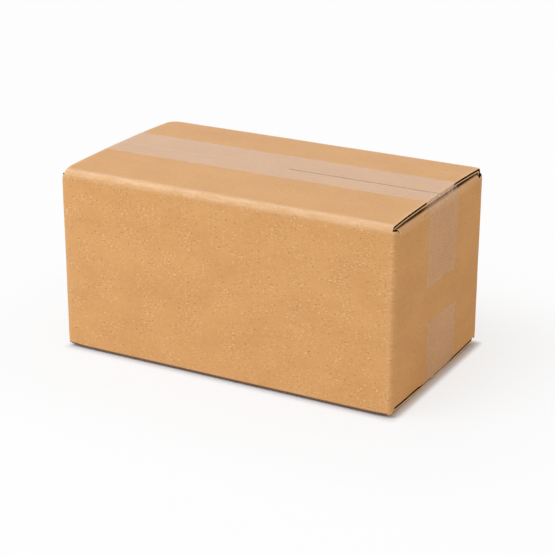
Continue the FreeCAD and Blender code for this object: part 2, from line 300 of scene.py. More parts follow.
def tape_material():
    """Clear polypropylene packing tape, stretched film with acrylic glue.

    It gives the eye a smooth gloss and a faint grey haze over the board, drawn out along the
    strip, and a cream one at its cut edges and where the glue has not taken.
    """
    material, tree = new_material("clear_polypropylene_tape")
    strip = add_node(tree, "ShaderNodeUVMap", uv_map="strip").outputs["UV"]
    loose = add_node(tree, "ShaderNodeAttribute", attribute_name="loose").outputs["Fac"]
    long_place = add_node(tree, "ShaderNodeVectorMath", {
        0: strip, 1: (1 / 60.0, 1 / 1.4, 1.0)}, operation="MULTIPLY").outputs["Vector"]
    streaks = add_node(tree, "ShaderNodeTexNoise", {
        "Vector": long_place, "Scale": 1.0, "Detail": 3.0}, noise_dimensions="2D").outputs["Fac"]
    patch_place = add_node(tree, "ShaderNodeVectorMath", {
        0: strip, 1: (1 / 9.0, 1 / 7.0, 1.0)}, operation="MULTIPLY").outputs["Vector"]
    patches = add_node(tree, "ShaderNodeTexNoise", {
        "Vector": patch_place, "Scale": 1.0, "Detail": 3.0}, noise_dimensions="2D").outputs["Fac"]
    haze = add_node(tree, "ShaderNodeMath", {
        0: streaks, 1: 0.055, 2: 0.006}, operation="MULTIPLY_ADD").outputs[0]
    haze = add_node(tree, "ShaderNodeMath", {
        0: patches, 1: 0.03, 2: haze}, operation="MULTIPLY_ADD").outputs[0]
    haze = add_node(tree, "ShaderNodeMath", {
        0: loose, 1: 0.34, 2: haze}, operation="MULTIPLY_ADD", use_clamp=True).outputs[0]
    milk = add_node(tree, "ShaderNodeMix", {
        "Factor": loose, 6: paint("#e2e8ee"), 7: paint("#ffdcab")}, data_type="RGBA").outputs[2]
    bump = add_node(tree, "ShaderNodeBump", {
        "Height": streaks, "Strength": 0.5, "Distance": 0.05 * METRES_PER_MM}).outputs["Normal"]
    shader = add_node(tree, "ShaderNodeBsdfPrincipled", {
        "Base Color": milk, "Roughness": 0.22, "IOR": 1.5, "Alpha": haze,
        "Normal": bump})
    smooth = add_node(tree, "ShaderNodeAttribute", attribute_name="smooth").outputs["Fac"]
    fresnel = add_node(tree, "ShaderNodeFresnel", {"IOR": 1.36, "Normal": bump}).outputs["Fac"]
    # Light that leaves the board meets the film from below, and passes it.
    below = add_node(tree, "ShaderNodeNewGeometry").outputs["Backfacing"]
    outside = add_node(tree, "ShaderNodeMath", {0: 1.0, 1: below}, operation="SUBTRACT").outputs[0]
    smooth = add_node(tree, "ShaderNodeMath", {0: smooth, 1: outside}, operation="MULTIPLY")
    shine = add_node(tree, "ShaderNodeMath", {
        0: fresnel, 1: smooth.outputs[0]}, operation="MULTIPLY")
    gloss = add_node(tree, "ShaderNodeBsdfGlossy", {
        "Color": paint("#f2f5fa"), "Roughness": 0.16, "Normal": bump})
    film = add_node(tree, "ShaderNodeMixShader", {
        0: shine.outputs[0], 1: shader.outputs["BSDF"], 2: gloss.outputs["BSDF"]})
    add_node(tree, "ShaderNodeOutputMaterial", {"Surface": film.outputs["Shader"]})
    return material


# Meshes

def add_object(name, data):
    """A new object with this data, in the scene."""
    new = bpy.data.objects.new(name, data)
    bpy.context.scene.collection.objects.link(new)
    return new


class Patchwork:
    """Points, faces and what each point carries, gathered until they become one mesh."""

    def __init__(self):
        self.points, self.uvs, self.marks = [], [], []
        self.faces, self.slots = [], []

    def add_point(self, point, uv, *marks):
        self.points.append(point)
        self.uvs.append(uv)
        self.marks.append(marks)
        return len(self.points) - 1

    def add_grid(self, rows, slot):
        """Faces over rows of point numbers. They look to the side from which rows run upward
        when points run to the right."""
        for lower, upper in zip(rows, rows[1:]):
            for i in range(len(lower) - 1):
                self.faces.append((lower[i], lower[i + 1], upper[i + 1], upper[i]))
                self.slots.append(slot)

    def make(self, name, uv_name, mark_names, materials, merge=1e-4):
        """The mesh, closed and facing outward. Points nearer than merge millimetres are joined."""
        mesh = bpy.data.meshes.new(name)
        mesh.from_pydata([p * METRES_PER_MM for p in self.points], [], self.faces)
        for material in materials:
            mesh.materials.append(material)
        mesh.polygons.foreach_set("material_index", self.slots)
        layer = mesh.uv_layers.new(name=uv_name)
        for loop in mesh.loops:
            layer.data[loop.index].uv = self.uvs[loop.vertex_index]
        for number, mark_name in enumerate(mark_names):
            attribute = mesh.attributes.new(mark_name, "FLOAT", "POINT")
            attribute.data.foreach_set("value", [marks[number] for marks in self.marks])
        work = bmesh.new()
        work.from_mesh(mesh)
        bmesh.ops.remove_doubles(work, verts=work.verts, dist=merge * METRES_PER_MM)
        open_edges = [edge for edge in work.edges if len(edge.link_faces) == 1]
        for face in bmesh.ops.holes_fill(work, edges=open_edges, sides=0)["faces"]:
            face.material_index = min(EDGE, len(materials) - 1)
        bmesh.ops.recalc_face_normals(work, faces=work.faces)
        work.to_mesh(mesh)
        work.free()
        mesh.shade_smooth()
        mesh.set_sharp_from_angle(angle=math.radians(40))
        return add_object(name, mesh)


def smooth_step(value, low, high):
    t = min(1.0, max(0.0, (value - low) / (high - low)))
    return t * t * (3 - 2 * t)


def steps(start, finish, step):
    """Evenly spaced values from start to finish, about a step apart, both ends included."""
    count = max(1, round(abs(finish - start) / step))
    return [start + (finish - start) * i / count for i in range(count + 1)]


def sag(point, normal):
    """How far the sheet lies inside its true face, in millimetres: gentle waves, none at tape."""
    long, short = WAVE_SIZES
    waves = noise.noise(point / long) + 0.5 * noise.noise(point / short + Vector((7, 3, 5)))
    depth = WAVE_DEPTH * (1 + 0.8 * waves)
    clear_of_tape = smooth_step(abs(point.y - 5.0), 27.0, 46.0)
    if abs(normal.y) < 0.5:
        depth *= clear_of_tape
    return max(0.0, depth)


# The carton. Every stretch of the sheet is a grid of columns along a panel and rows across it. A
# column's blank place runs round the walls, and a row's runs up from the floor.

def wall_stations():
    """Columns round the walls: (place, normal, distance along the blank, how much fold)."""
    corner_x, corner_y = HALF_LENGTH - FOLD_RADIUS, HALF_DEPTH - FOLD_RADIUS
    lap_centre_y = HALF_DEPTH - BOARD + LAP_PRESS - FOLD_RADIUS
    stations = []
    travelled = 0.0

    def straight(start, finish, stops=()):
        """Columns from start to finish. A stop is a coordinate that must get a column."""
        nonlocal travelled
        start, finish = Vector(start), Vector(finish)
        run = finish - start
        length = run.length
        marks = sorted({0.0, length, *stops})
        distances = [d for a, b in zip(marks, marks[1:]) for d in steps(a, b, PANEL_STEP)]
        direction = run / length
        normal = Vector((-direction.y, direction.x, 0))
        for distance in sorted(set(round(d, 6) for d in distances)):
            place = start + direction * distance
            near_fold = min(distance, length - distance)
            stations.append((Vector((place.x, place.y, 0)), normal, travelled + distance,
                             UPRIGHT_WEAR * (1 - smooth_step(near_fold, 0.0, FOLD_WEAR_WIDTH))))
        travelled += length

    def corner(centre, start_angle):
        """A fold of a quarter turn, clockwise from above."""
        nonlocal travelled
        quarter = (FOLD_RADIUS - BOARD / 2) * math.pi / 2
        for i in range(1, ARC_STEPS):
            angle = math.radians(start_angle - 90 * i / ARC_STEPS)
            normal = Vector((math.cos(angle), math.sin(angle), 0))
            place = Vector((*centre, 0)) + normal * FOLD_RADIUS
            stations.append((place, normal, travelled + quarter * i / ARC_STEPS, UPRIGHT_WEAR))
        travelled += quarter

    flap_stops = (corner_y - INNER_HALF_WIDTH, corner_y + INNER_HALF_WIDTH)
    straight((-HALF_LENGTH + LAP_SET_IN, HALF_DEPTH), (corner_x, HALF_DEPTH),
             (FLAP_SET_IN - LAP_SET_IN,))
    corner((corner_x, corner_y), 90)
    straight((HALF_LENGTH, corner_y), (HALF_LENGTH, -corner_y), flap_stops)
    corner((corner_x, -corner_y), 0)
    straight((corner_x, -HALF_DEPTH), (-corner_x, -HALF_DEPTH))
    corner((-corner_x, -corner_y), -90)
    straight((-HALF_LENGTH, -corner_y), (-HALF_LENGTH, lap_centre_y), flap_stops)
    corner((-corner_x, lap_centre_y), 180)
    straight((-corner_x, lap_centre_y + FOLD_RADIUS),
             (-HALF_LENGTH + LAP_WIDTH, lap_centre_y + FOLD_RADIUS))
    return stations


def wall_heights(place, normal):
    """Where a column of the wall ends, below and above: at a fold, or at a slot's floor."""
    pressed = BACK_CORNER_DROP if place.x > 0 and place.y > 0 else 0.0
    corner_top = TOP_FOLD_CENTRE - pressed * smooth_step(abs(normal.x), 0.0, 0.6)
    foot = -BACK_CORNER_FOOT if place.x > 0 and place.y > 0 else CORNER_FOOT
    corner_low = BOTTOM_FOLD_CENTRE - foot * smooth_step(abs(normal.x), 0.0, 0.6)
    if abs(normal.x) < FLAT:
        return corner_low, corner_top
    slant = (abs(place.y) - INNER_HALF_WIDTH) / (HALF_DEPTH - BOARD - INNER_HALF_WIDTH)
    slant = min(1.0, max(0.0, slant))
    return (BOTTOM_SLOT_FLOOR + (corner_low - BOTTOM_SLOT_FLOOR) * slant,
            TOP_SLOT_FLOOR + (corner_top - TOP_SLOT_FLOOR) * slant)


def scuff_of(normal):
    """How rubbed the sheet is: the long panels most, the top and the ends less."""
    return 1.0 if abs(normal.y) > 0.7 else 0.4


def polish_of(normal):
    """How much the sheet shines: the top most, and the ends least."""
    if abs(normal.z) > 0.7:
        return TOP_POLISH
    return LONG_POLISH if abs(normal.y) > 0.7 else END_POLISH


def painted_shade_of(place, normal):
    """1 where painted shade darkens the sheet: under a long flap's end, and on the underside."""
    if place.z < BOTTOM_FOLD_CENTRE and normal.z < -0.3:
        return UNDER_SHADE
    level = TOP_INNER_FACE if place.z > MIDDLE_HEIGHT else BOTTOM_INNER_FACE
    if abs(place.y) > INNER_HALF_WIDTH + 0.01 or abs(place.z - level) > 1.2 or abs(normal.z) < 0.3:
        return 0.0
    # Painted shade under a long flap's end, none where the tape crushes the edge.
    crevice_painted_shade = 1 - smooth_step(abs(place.x), FLAP_END - 0.4, FLAP_END + 0.3)
    return crevice_painted_shade * (1 - crushed_by_tape(place))


def sprung(place):
    """The place lifted: the bottom folds spring off the floor, and the bottom flaps' ends curl
    up, except under the tape."""
    spring = smooth_step(abs(place.y), *SPRING_SPAN)
    spring *= 1 - smooth_step(place.z, 0.0, SPRING_HEIGHT)
    curl = smooth_step(abs(place.x), CURL_FROM, FLAP_END) * (1 - smooth_step(place.z, 3.2, 4.0))
    curl *= smooth_step(abs(place.y - BOTTOM_TAPE_OFFSET), TAPE_WIDTH / 2, TAPE_WIDTH / 2 + 8.0)
    return place + Vector((0, 0, SPRING_LIFT * spring + END_CURL * curl))


def knocked(place):
    """The place moved in where a corner of the carton has been knocked soft."""
    corner = Vector((math.copysign(HALF_LENGTH, place.x), math.copysign(HALF_DEPTH, place.y),
                     TOP_FACE if place.z > MIDDLE_HEIGHT else BOTTOM_FACE))
    away = place - corner
    if away.length > CORNER_REACH:
        return place
    inward = Vector((-math.copysign(1, corner.x), -math.copysign(1, corner.y),
                     -1 if place.z > MIDDLE_HEIGHT else 1)).normalized()
    press = LEFT_CORNER_PRESS if place.x < 0 and corner.z == TOP_FACE else SLIGHT_CORNER_PRESS
    return place + inward * press * (1 - smooth_step(away.length, 0.0, CORNER_REACH))


def add_sheet(work, grid):
    """Both skins of a stretch of sheet. grid holds rows of (place, normal, uv, fold).

    Returns the outer and inner point numbers, row by row.
    """
    outer_skin, inner_skin = [], []
    for row in grid:
        outer_row, inner_row = [], []
        for place, normal, uv, fold in row:
            face = place - normal * sag(place, normal)
            marks = (fold, scuff_of(normal), polish_of(normal), painted_shade_of(place, normal))
            outer_row.append(work.add_point(sprung(knocked(face)), uv, *marks))
            inner = sprung(knocked(face - normal * BOARD))
            inner_row.append(work.add_point(inner, uv, *marks))
        outer_skin.append(outer_row)
        inner_skin.append(inner_row)
    work.add_grid(outer_skin, SHEET)
    work.add_grid([list(reversed(row)) for row in inner_skin], SHEET)
    return outer_skin, inner_skin


def open_flute_section(lip=UPPER_LIP, chamfer=LIP_CHAMFER):
    """Across a cut along the flutes, as (depth, distance from the outer face, slot).

    The knife leaves both liners with a crushed lip, and the medium slants away behind the upper.
    """
    far = FLUTE_PITCH / 2
    flank = []
    for i in range(FLANK_STEPS + 1):
        t = i / FLANK_STEPS
        height = LINER + MEDIUM + (BOARD - 2 * LINER - 2 * MEDIUM) * (1 - math.cos(math.pi * t)) / 2
        flank.append((FLANK_START + (far - FLANK_START) * t, height, FLUTE))
    return [(chamfer, 0.0, EDGE), (0.2 * chamfer, 0.45 * chamfer, EDGE),
            (0.0, 0.9 * chamfer, EDGE), (0.0, lip, FLUTE), *flank,
            (far, BOARD - LINER, FLUTE), (0.75, BOARD - LINER, FLUTE),
            (0.5, BOARD - LOWER_LIP, EDGE), (0.0, BOARD - 0.4, EDGE), (0.0, BOARD - 0.2, EDGE),
            (0.15, BOARD, EDGE)]


def cut_across_section(lip_slot=FLUTE, chamfer=LIP_CHAMFER):
    """Across a cut over the flutes, as above: a crushed lip, and a recess between the liners."""
    return [(chamfer, 0.0, lip_slot), (0.15 * chamfer, 0.7 * chamfer, lip_slot),
            (0.0, LINER, FLUTE), (CUT_RECESS, LINER, FLUTE), (CUT_RECESS, BOARD - LINER, FLUTE),
            (0.0, BOARD - LINER, EDGE), (0.0, BOARD, EDGE)]


def crushed_by_tape(place):
    """1 where the tape pulls over a cut end and crushes its flute flat, 0 clear of it."""
    offset = TOP_TAPE_OFFSET if place.z > MIDDLE_HEIGHT else BOTTOM_TAPE_OFFSET
    return 1 - smooth_step(abs(place.y - offset), TAPE_WIDTH / 2 - 1.0, TAPE_WIDTH / 2 + 1.5)


def add_rim(work, outer, inner, inward, section, taped=False, dark_from=-HALF_LENGTH):
    """The cut edge between an outer and an inner line of points of the skins.

    It moves those points inward to the section's ends. Left of dark_from it is pale; right of it
    the fluting shows its painted shade, and where the tape crushes it flat it is as the sheet is.
    """
    crushed = [crushed_by_tape(work.points[a]) if taped else 0.0 for a in outer]
    lines = []
    for number, (depth, through, _) in enumerate(section):
        on_skin = number in (0, len(section) - 1)
        line = []
        for i, (a, b, flat) in enumerate(zip(outer, inner, crushed)):
            start, finish = work.points[a], work.points[b]
            recess = depth * (1 - 0.94 * flat)
            if on_skin and i in (0, len(outer) - 1):
                recess = 0.0
            place = start.lerp(finish, through / BOARD) + Vector(inward) * recess
            line.append(work.add_point(place, work.uvs[a], *work.marks[a]))
        lines.append(line)
    for skin, line in ((outer, lines[0]), (inner, lines[-1])):
        for at_edge, moved in zip(skin, line):
            work.points[at_edge] = work.points[moved]
    for one, other, (_, _, slot) in zip(lines, lines[1:], section):
        for i in range(len(one) - 1):
            look = slot
            if slot == FLUTE and work.points[outer[i]].x < dark_from:
                look = EDGE
            if slot == FLUTE and crushed[i] + crushed[i + 1] > 1.0:
                look = SHEET
            work.add_grid([one[i:i + 2], other[i:i + 2]], look)


def fold_profile(fold_face, way, wear):
    """Rows over a level flap's fold.

    Each is (distance out, height, normal out, normal up, length along the sheet, how worn).
    """
    rows = []
    quarter = (FOLD_RADIUS - BOARD / 2) * math.pi / 2
    for i in range(ARC_STEPS + 1):
        angle = math.radians(90 * i / ARC_STEPS)
        out, up = math.cos(angle), way * math.sin(angle)
        centre = fold_face - way * FOLD_RADIUS
        rows.append((-FOLD_RADIUS + FOLD_RADIUS * out, centre + FOLD_RADIUS * up, out, up,
                     quarter * i / ARC_STEPS, wear))
    return rows


def level_flap_profile(wall, reach, face, way, wear):
    """Rows of a level flap from its panel to where it stops."""
    rows = [(wall + out, height, nx, nz, length, fold)
            for out, height, nx, nz, length, fold in fold_profile(face, way, wear)]
    start = rows[-1][4]
    for distance in steps(wall - FOLD_RADIUS, reach, PANEL_STEP)[1:]:
        length = wall - FOLD_RADIUS - distance
        rows.append((distance, face, 0.0, way, start + length,
                     wear * (1 - smooth_step(length, 0.0, FOLD_WEAR_WIDTH))))
    return rows


def crowned_flap_profile(wear):
    """Rows of a long top flap: a fold, a gentle bow and a level stretch under the tape."""
    run = HALF_DEPTH - FOLD_RADIUS - CROWN_HALF_WIDTH
    bow_angle = 2 * math.atan(CROWN_RISE / run)
    bow_radius = (run + FOLD_RADIUS * math.sin(bow_angle)) / math.sin(bow_angle)
    centre = HALF_DEPTH - FOLD_RADIUS
    rows = []
    for i in range(ARC_STEPS + 1):
        turn = (math.pi / 2 - bow_angle) * i / ARC_STEPS
        out, up = math.cos(turn), math.sin(turn)
        rows.append((centre + FOLD_RADIUS * out, TOP_FOLD_CENTRE + FOLD_RADIUS * up, out, up,
                     (FOLD_RADIUS - BOARD / 2) * turn, wear))
    length = rows[-1][4]
    bow_steps = round(bow_radius * bow_angle / PANEL_STEP)
    for i in range(1, bow_steps + 1):
        angle = bow_angle * (1 - i / bow_steps)
        out, up = math.sin(angle), math.cos(angle)
        along = bow_radius * bow_angle * i / bow_steps
        worn = 0.6 * wear * (1 - smooth_step(along, 0.0, FOLD_WEAR_WIDTH))
        rows.append((CROWN_HALF_WIDTH + bow_radius * out, TOP_FACE - bow_radius * (1 - up),
                     out, up, length + along, worn))
    length = rows[-1][4]
    for distance in steps(CROWN_HALF_WIDTH, SEAM_GAP / 2, PANEL_STEP)[1:]:
        rows.append((distance, TOP_FACE, 0.0, 1.0, length + CROWN_HALF_WIDTH - distance, 0.0))
    return rows


def make_carton(materials):
    work = Patchwork()
    stations = wall_stations()
    edges = [wall_heights(place, normal) for place, normal, _, _ in stations]

    grid = []
    for i in range(WALL_ROWS + 1):
        row = []
        for (place, normal, along, fold), (low, high) in zip(stations, edges):
            height = low + (high - low) * i / WALL_ROWS
            # Paling below the top folds: partly wear, and on the long walls partly a painted
            # highlight.
            rubbed = 0.8 * LONG_WEAR_AND_HIGHLIGHT[normal.y > 0] * abs(normal.y) + END_WEAR * abs(normal.x)
            top_wear_and_highlight = rubbed * (1 - smooth_step(high - height, 0.0, FOLD_WEAR_WIDTH))
            near_foot = 1 - smooth_step(height - low, 0.0, FOOT_WEAR_WIDTH)
            foot_wear = FOOT_WEAR * abs(normal.y) * near_foot
            row.append((place + Vector((0, 0, height)), normal, (along, height),
                        max(fold, top_wear_and_highlight, foot_wear)))
        grid.append(row)
    outer, inner = add_sheet(work, grid)

    # The back panel's free edge at the glued corner, and the lap's own edge inside.
    for column, inward in ((0, (1, 0, 0)), (-1, (-1, 0, 0))):
        add_rim(work, [row[column] for row in outer], [row[column] for row in inner], inward,
                open_flute_section())

    # Where the slots cut the walls: from the inner flap's side round the corner.
    def is_cut(index):
        place, normal = stations[index][0], stations[index][1]
        if abs(normal.y) > FLAT:
            on_lap = abs(place.y) < HALF_DEPTH - 0.01
            return on_lap or (normal.y > 0 and place.x <= -FLAP_END + NEAR)
        return abs(place.y) >= INNER_HALF_WIDTH - NEAR or abs(normal.x) < FLAT

    cuts, run = [], []
    for index in range(len(stations)):
        if is_cut(index):
            run.append(index)
        elif run:
            cuts.append(run)
            run = []
    cuts.append(run)
    for run in cuts:
        # A run starts and ends at the long panels' last columns, to meet the long flaps.
        if run[0] > 0 and abs(stations[run[0] - 1][1].y) > FLAT:
            run = [run[0] - 1] + run
        after = run[-1] + 1
        if run[0] > 0 and after < len(stations) and abs(stations[after][1].y) > FLAT:
            run = run + [after]
        middle = stations[run[len(run) // 2]][0]
        back_right = middle.x > 0 and middle.y > 0
        for row, inward in ((-1, (0, 0, -1)), (0, (0, 0, 1))):
            add_rim(work, [outer[row][i] for i in run], [inner[row][i] for i in run], inward,
                    cut_across_section(EDGE if back_right and row == -1 else FLUTE))

    def add_flap(columns, side, profile, foot, way):
        """A flap. columns are (place along the panel, blank distance), and side puts a point
        (along, out, up) on their wall. way is 1 for a top flap and -1 for a bottom one."""
        flap = []
        end = max(abs(along) for along, _ in columns)
        for out, height, normal_out, normal_up, length, fold in profile:
            row = []
            for along, blank in columns:
                worn = CUT_WEAR * (1 - smooth_step(end - abs(along), 0.0, CUT_WEAR_WIDTH))
                row.append((side(along, out, height), side(0.0, normal_out, normal_up),
                            (blank, foot + way * length), max(fold, worn)))
            flap.append(row)
        flap_outer, flap_inner = add_sheet(work, flap)
        lengthwise = side(1.0, 0.0, 0.0)
        section = open_flute_section() if way > 0 else open_flute_section(FOOT_LIP, FOOT_CHAMFER)
        for column in (0, -1):
            start = columns[column][0] * lengthwise
            add_rim(work, [row[column] for row in flap_outer],
                    [row[column] for row in flap_inner], -start.normalized(), section,
                    taped=abs(start.x) > abs(start.y))
        add_rim(work, flap_outer[-1], flap_inner[-1], side(0.0, 1.0, 0.0),
                cut_across_section(FLUTE, SEAM_CHAMFER), dark_from=SEAM_DARK_FROM)

    for sign in (1, -1):
        on_long = [(place.x, along) for place, normal, along, _ in stations
                   if normal.y * sign > FLAT and abs(place.y) > HALF_DEPTH - 0.01]
        columns = sorted(c for c in on_long if abs(c[0]) <= FLAP_END + NEAR)
        left, right = columns[0], columns[-1]
        turn = 1 if right[1] > left[1] else -1
        columns.append((FLAP_END, right[1] + turn * (FLAP_END - right[0])))
        if left[0] > -FLAP_END + NEAR:
            columns.insert(0, (-FLAP_END, left[1] + turn * (-FLAP_END - left[0])))

        def side(along, out, up, sign=sign):
            return Vector((along, sign * out, up))

        # The long top flaps' fold paling is partly wear and partly a painted highlight.
        add_flap(columns, side, crowned_flap_profile(LONG_WEAR_AND_HIGHLIGHT[sign > 0]), TOP_FOLD_CENTRE, 1)
        add_flap(columns, side,
                 level_flap_profile(HALF_DEPTH, SEAM_GAP / 2, BOTTOM_FACE, -1, LOW_WEAR),
                 BOTTOM_FOLD_CENTRE, -1)

        on_end = sorted((place.y, along) for place, normal, along, _ in stations
                        if normal.x * sign > FLAT and abs(place.y) <= INNER_HALF_WIDTH + NEAR)

        def end_side(along, out, up, sign=sign):
            return Vector((sign * out, along, up))

        add_flap(on_end, end_side,
                 level_flap_profile(HALF_LENGTH, HALF_LENGTH - INNER_REACH, TOP_INNER_FACE, 1,
                                    END_WEAR), TOP_SLOT_FLOOR, 1)
        add_flap(on_end, end_side,
                 level_flap_profile(HALF_LENGTH, HALF_LENGTH - INNER_REACH, BOTTOM_INNER_FACE, -1,
                                    LOW_WEAR), BOTTOM_SLOT_FLOOR, -1)
    # The shade mark is painted shade, read by the liner's colour.
    return work.make("carton_board", "blank", ("fold", "scuff", "polish", "shade"), materials)


# The tape.

def tape_path(face, inner_face, tail_end, way):
    """Stations along a strip: (x, height, normal x, normal up, length, how bridged)."""
    fold_x, fold_z = HALF_LENGTH - FOLD_RADIUS, inner_face - way * FOLD_RADIUS
    rise, run = abs(face - fold_z), FLAP_END - fold_x
    land = math.pi / 2 - math.atan(run / rise) - math.acos(FOLD_RADIUS / math.hypot(rise, run))
    land_x = fold_x + FOLD_RADIUS * math.cos(land)
    land_z = fold_z + way * FOLD_RADIUS * math.sin(land)
    half = []
    for x in steps(0.0, FLAP_END - 0.4, FILM_STEP):
        half.append((x, face, 0.0, 1.0, 0.0))
    normal = (math.cos(land), math.sin(land))
    half.append((FLAP_END, face, *[(a + b) / 2 for a, b in zip(normal, (0.0, 1.0))], 0.3))
    for i in range(1, 5):
        t = i / 5
        half.append((FLAP_END + (land_x - FLAP_END) * t, face + (land_z - face) * t, *normal, 1.0))
    for i in range(4):
        angle = land * (1 - i / 3)
        half.append((fold_x + FOLD_RADIUS * math.cos(angle),
                     fold_z + way * FOLD_RADIUS * math.sin(angle),
                     math.cos(angle), math.sin(angle), 0.4 * (1 - i / 3)))
    for height in steps(fold_z, tail_end, FILM_STEP)[1:]:
        half.append((HALF_LENGTH, height, 1.0, 0.0, 0.0))
    path = [(-x, z, -nx, nz, bridged) for x, z, nx, nz, bridged in reversed(half[1:])] + half
    stations, length = [], 0.0
    for index, (x, z, nx, nz, bridged) in enumerate(path):
        if index:
            length += math.hypot(x - path[index - 1][0], z - path[index - 1][1])
        size = math.hypot(nx, nz)
        stations.append((x, z, nx / size, way * nz / size, length, bridged))
    return stations


def wrinkle(length, across, bridged, seed):
    """How far the film stands off, from 0 to 1: small bubbles, and creases where it bridges."""
    bubble_length, bubble_width, bubble_level = 5.0, 3.0, 0.42
    crease_length, crease_width, crease_level = 14.0, 5.0, 0.07
    bubbles = noise.noise(Vector((length / bubble_length, across / bubble_width, seed)))
    creases = noise.noise(Vector((length / crease_length, across / crease_width, seed + 11)))
    creased = max(0.0, 1 - abs(creases) / crease_level)
    return max(0.0, bubbles - bubble_level) * 1.6 + bridged * creased


def make_tape(name, material, offset, face, inner_face, tail_end, way, seed):
    work = Patchwork()
    stations = tape_path(face, inner_face, tail_end, way)
    total = stations[-1][4]
    seam = [-offset + y for y in (-SEAM_GAP, -0.5 * SEAM_GAP, 0.0, 0.5 * SEAM_GAP, SEAM_GAP)]
    columns = [c for c in steps(-TAPE_WIDTH / 2, TAPE_WIDTH / 2, FILM_STEP)
               if min(abs(c - s) for s in seam) > 0.4]
    columns = sorted(columns + seam)
    upper, lower = [], []
    for x, z, nx, nz, length, bridged in stations:
        upper_row, lower_row = [], []
        for across in columns:
            at_side = TAPE_WIDTH / 2 - abs(across)
            edge = 1 - smooth_step(at_side, 0.0, 1.2)
            end = 1 - smooth_step(min(length, total - length), 0.0, 1.5)
            lift = min(1.0, wrinkle(length, across, bridged, seed))
            lift *= smooth_step(at_side, 0.0, 2.0)
            over_gap = abs(x) < FLAP_END and abs(across + offset) < 0.1
            loose = min(1.0, 0.8 * lift + 0.07 * edge + 0.12 * end + 0.2 * over_gap)
            smooth = TOP_GLOSS if abs(x) < FLAP_END else TAIL_GLOSS
            normal = Vector((nx, 0, nz))
            base = Vector((x, across + offset, z)) + normal * FILM_LIFT
            uv = (length, across)
            film = base + normal * (FILM + (TAPE_ROOM - FILM - FILM_LIFT) * lift)
            if over_gap:
                film -= normal * (SEAM_DIP[0] + (SEAM_DIP[1] - SEAM_DIP[0])
                                  * smooth_step(x, -10.0, 90.0))
            upper_row.append(work.add_point(film, uv, loose, smooth))
            lower_row.append(work.add_point(film - normal * FILM, uv, loose, 0.0))
        upper.append(upper_row)
        lower.append(lower_row)
    work.add_grid(upper, 0)
    work.add_grid([list(reversed(row)) for row in lower], 0)
    for one, other in ((upper[0], lower[0]), (upper[-1], lower[-1]),
                       ([row[0] for row in upper], [row[0] for row in lower]),
                       ([row[-1] for row in upper], [row[-1] for row in lower])):
        work.add_grid([one, other], 0)
    return work.make(name, "strip", ("loose", "smooth"), [material], merge=0.001)


# The fluting in the edges cut across it, by Geometry Nodes.

def fluting_tree(material):
    """A ribbon of fluted medium along a line, waving between the liners."""
    tree = bpy.data.node_groups.new("fluting_along_a_cut", "GeometryNodeTree")
    for name, kind in (("Line", "NodeSocketGeometry"), ("Pitch", "NodeSocketFloat"),
                       ("Wave Height", "NodeSocketFloat"), ("Profile Width", "NodeSocketFloat"),
                       ("Profile Height", "NodeSocketFloat"), ("Step", "NodeSocketFloat")):
        tree.interface.new_socket(name, in_out="INPUT", socket_type=kind)
    tree.interface.new_socket("Ribbon", in_out="OUTPUT", socket_type="NodeSocketGeometry")
    given = add_node(tree, "NodeGroupInput").outputs
    curve = add_node(tree, "GeometryNodeMeshToCurve", {"Mesh": given["Line"]}).outputs[0]
    curve = add_node(tree, "GeometryNodeResampleCurve", {
        "Curve": curve, "Length": given["Step"]}, mode="LENGTH").outputs[0]
    length = add_node(tree, "GeometryNodeSplineParameter").outputs["Length"]
    turns = add_node(tree, "ShaderNodeMath", {0: length, 1: given["Pitch"]}, operation="DIVIDE")
    angle = add_node(tree, "ShaderNodeMath", {
        0: turns.outputs[0], 1: 2 * math.pi}, operation="MULTIPLY")
    wave = add_node(tree, "ShaderNodeMath", {0: angle.outputs[0]}, operation="SINE")
    reach = add_node(tree, "ShaderNodeMath", {
        0: wave.outputs[0], 1: given["Wave Height"]}, operation="MULTIPLY")
    through = add_node(tree, "GeometryNodeInputNamedAttribute", {"Name": "through"},
                       data_type="FLOAT_VECTOR").outputs["Attribute"]
    offset = add_node(tree, "ShaderNodeVectorMath", {
        0: through, "Scale": reach.outputs[0]}, operation="SCALE")
    curve = add_node(tree, "GeometryNodeSetPosition", {
        "Geometry": curve, "Offset": offset.outputs["Vector"]}).outputs[0]
    curve = add_node(tree, "GeometryNodeSetCurveNormal", {"Curve": curve}, mode="Z_UP").outputs[0]
    profile = add_node(tree, "GeometryNodeCurvePrimitiveQuadrilateral", {
        "Width": given["Profile Width"], "Height": given["Profile Height"]}, mode="RECTANGLE")
    ribbon = add_node(tree, "GeometryNodeCurveToMesh", {
        "Curve": curve, "Profile Curve": profile.outputs[0], "Fill Caps": True}).outputs[0]
    ribbon = add_node(tree, "GeometryNodeRealizeInstances", {0: ribbon}).outputs[0]
    ribbon = add_node(tree, "GeometryNodeSetMaterial", {
        "Geometry": ribbon, "Material": material}).outputs[0]
    add_node(tree, "NodeGroupOutput", {"Ribbon": ribbon})
    return tree


def set_input(modifier, name, value):
    """A modifier's input, found by its name in the tree and set by its identifier."""
    socket = next(s for s in modifier.node_group.interface.items_tree
                  if s.item_type == "SOCKET" and s.in_out == "INPUT" and s.name == name)
    modifier[socket.identifier] = value


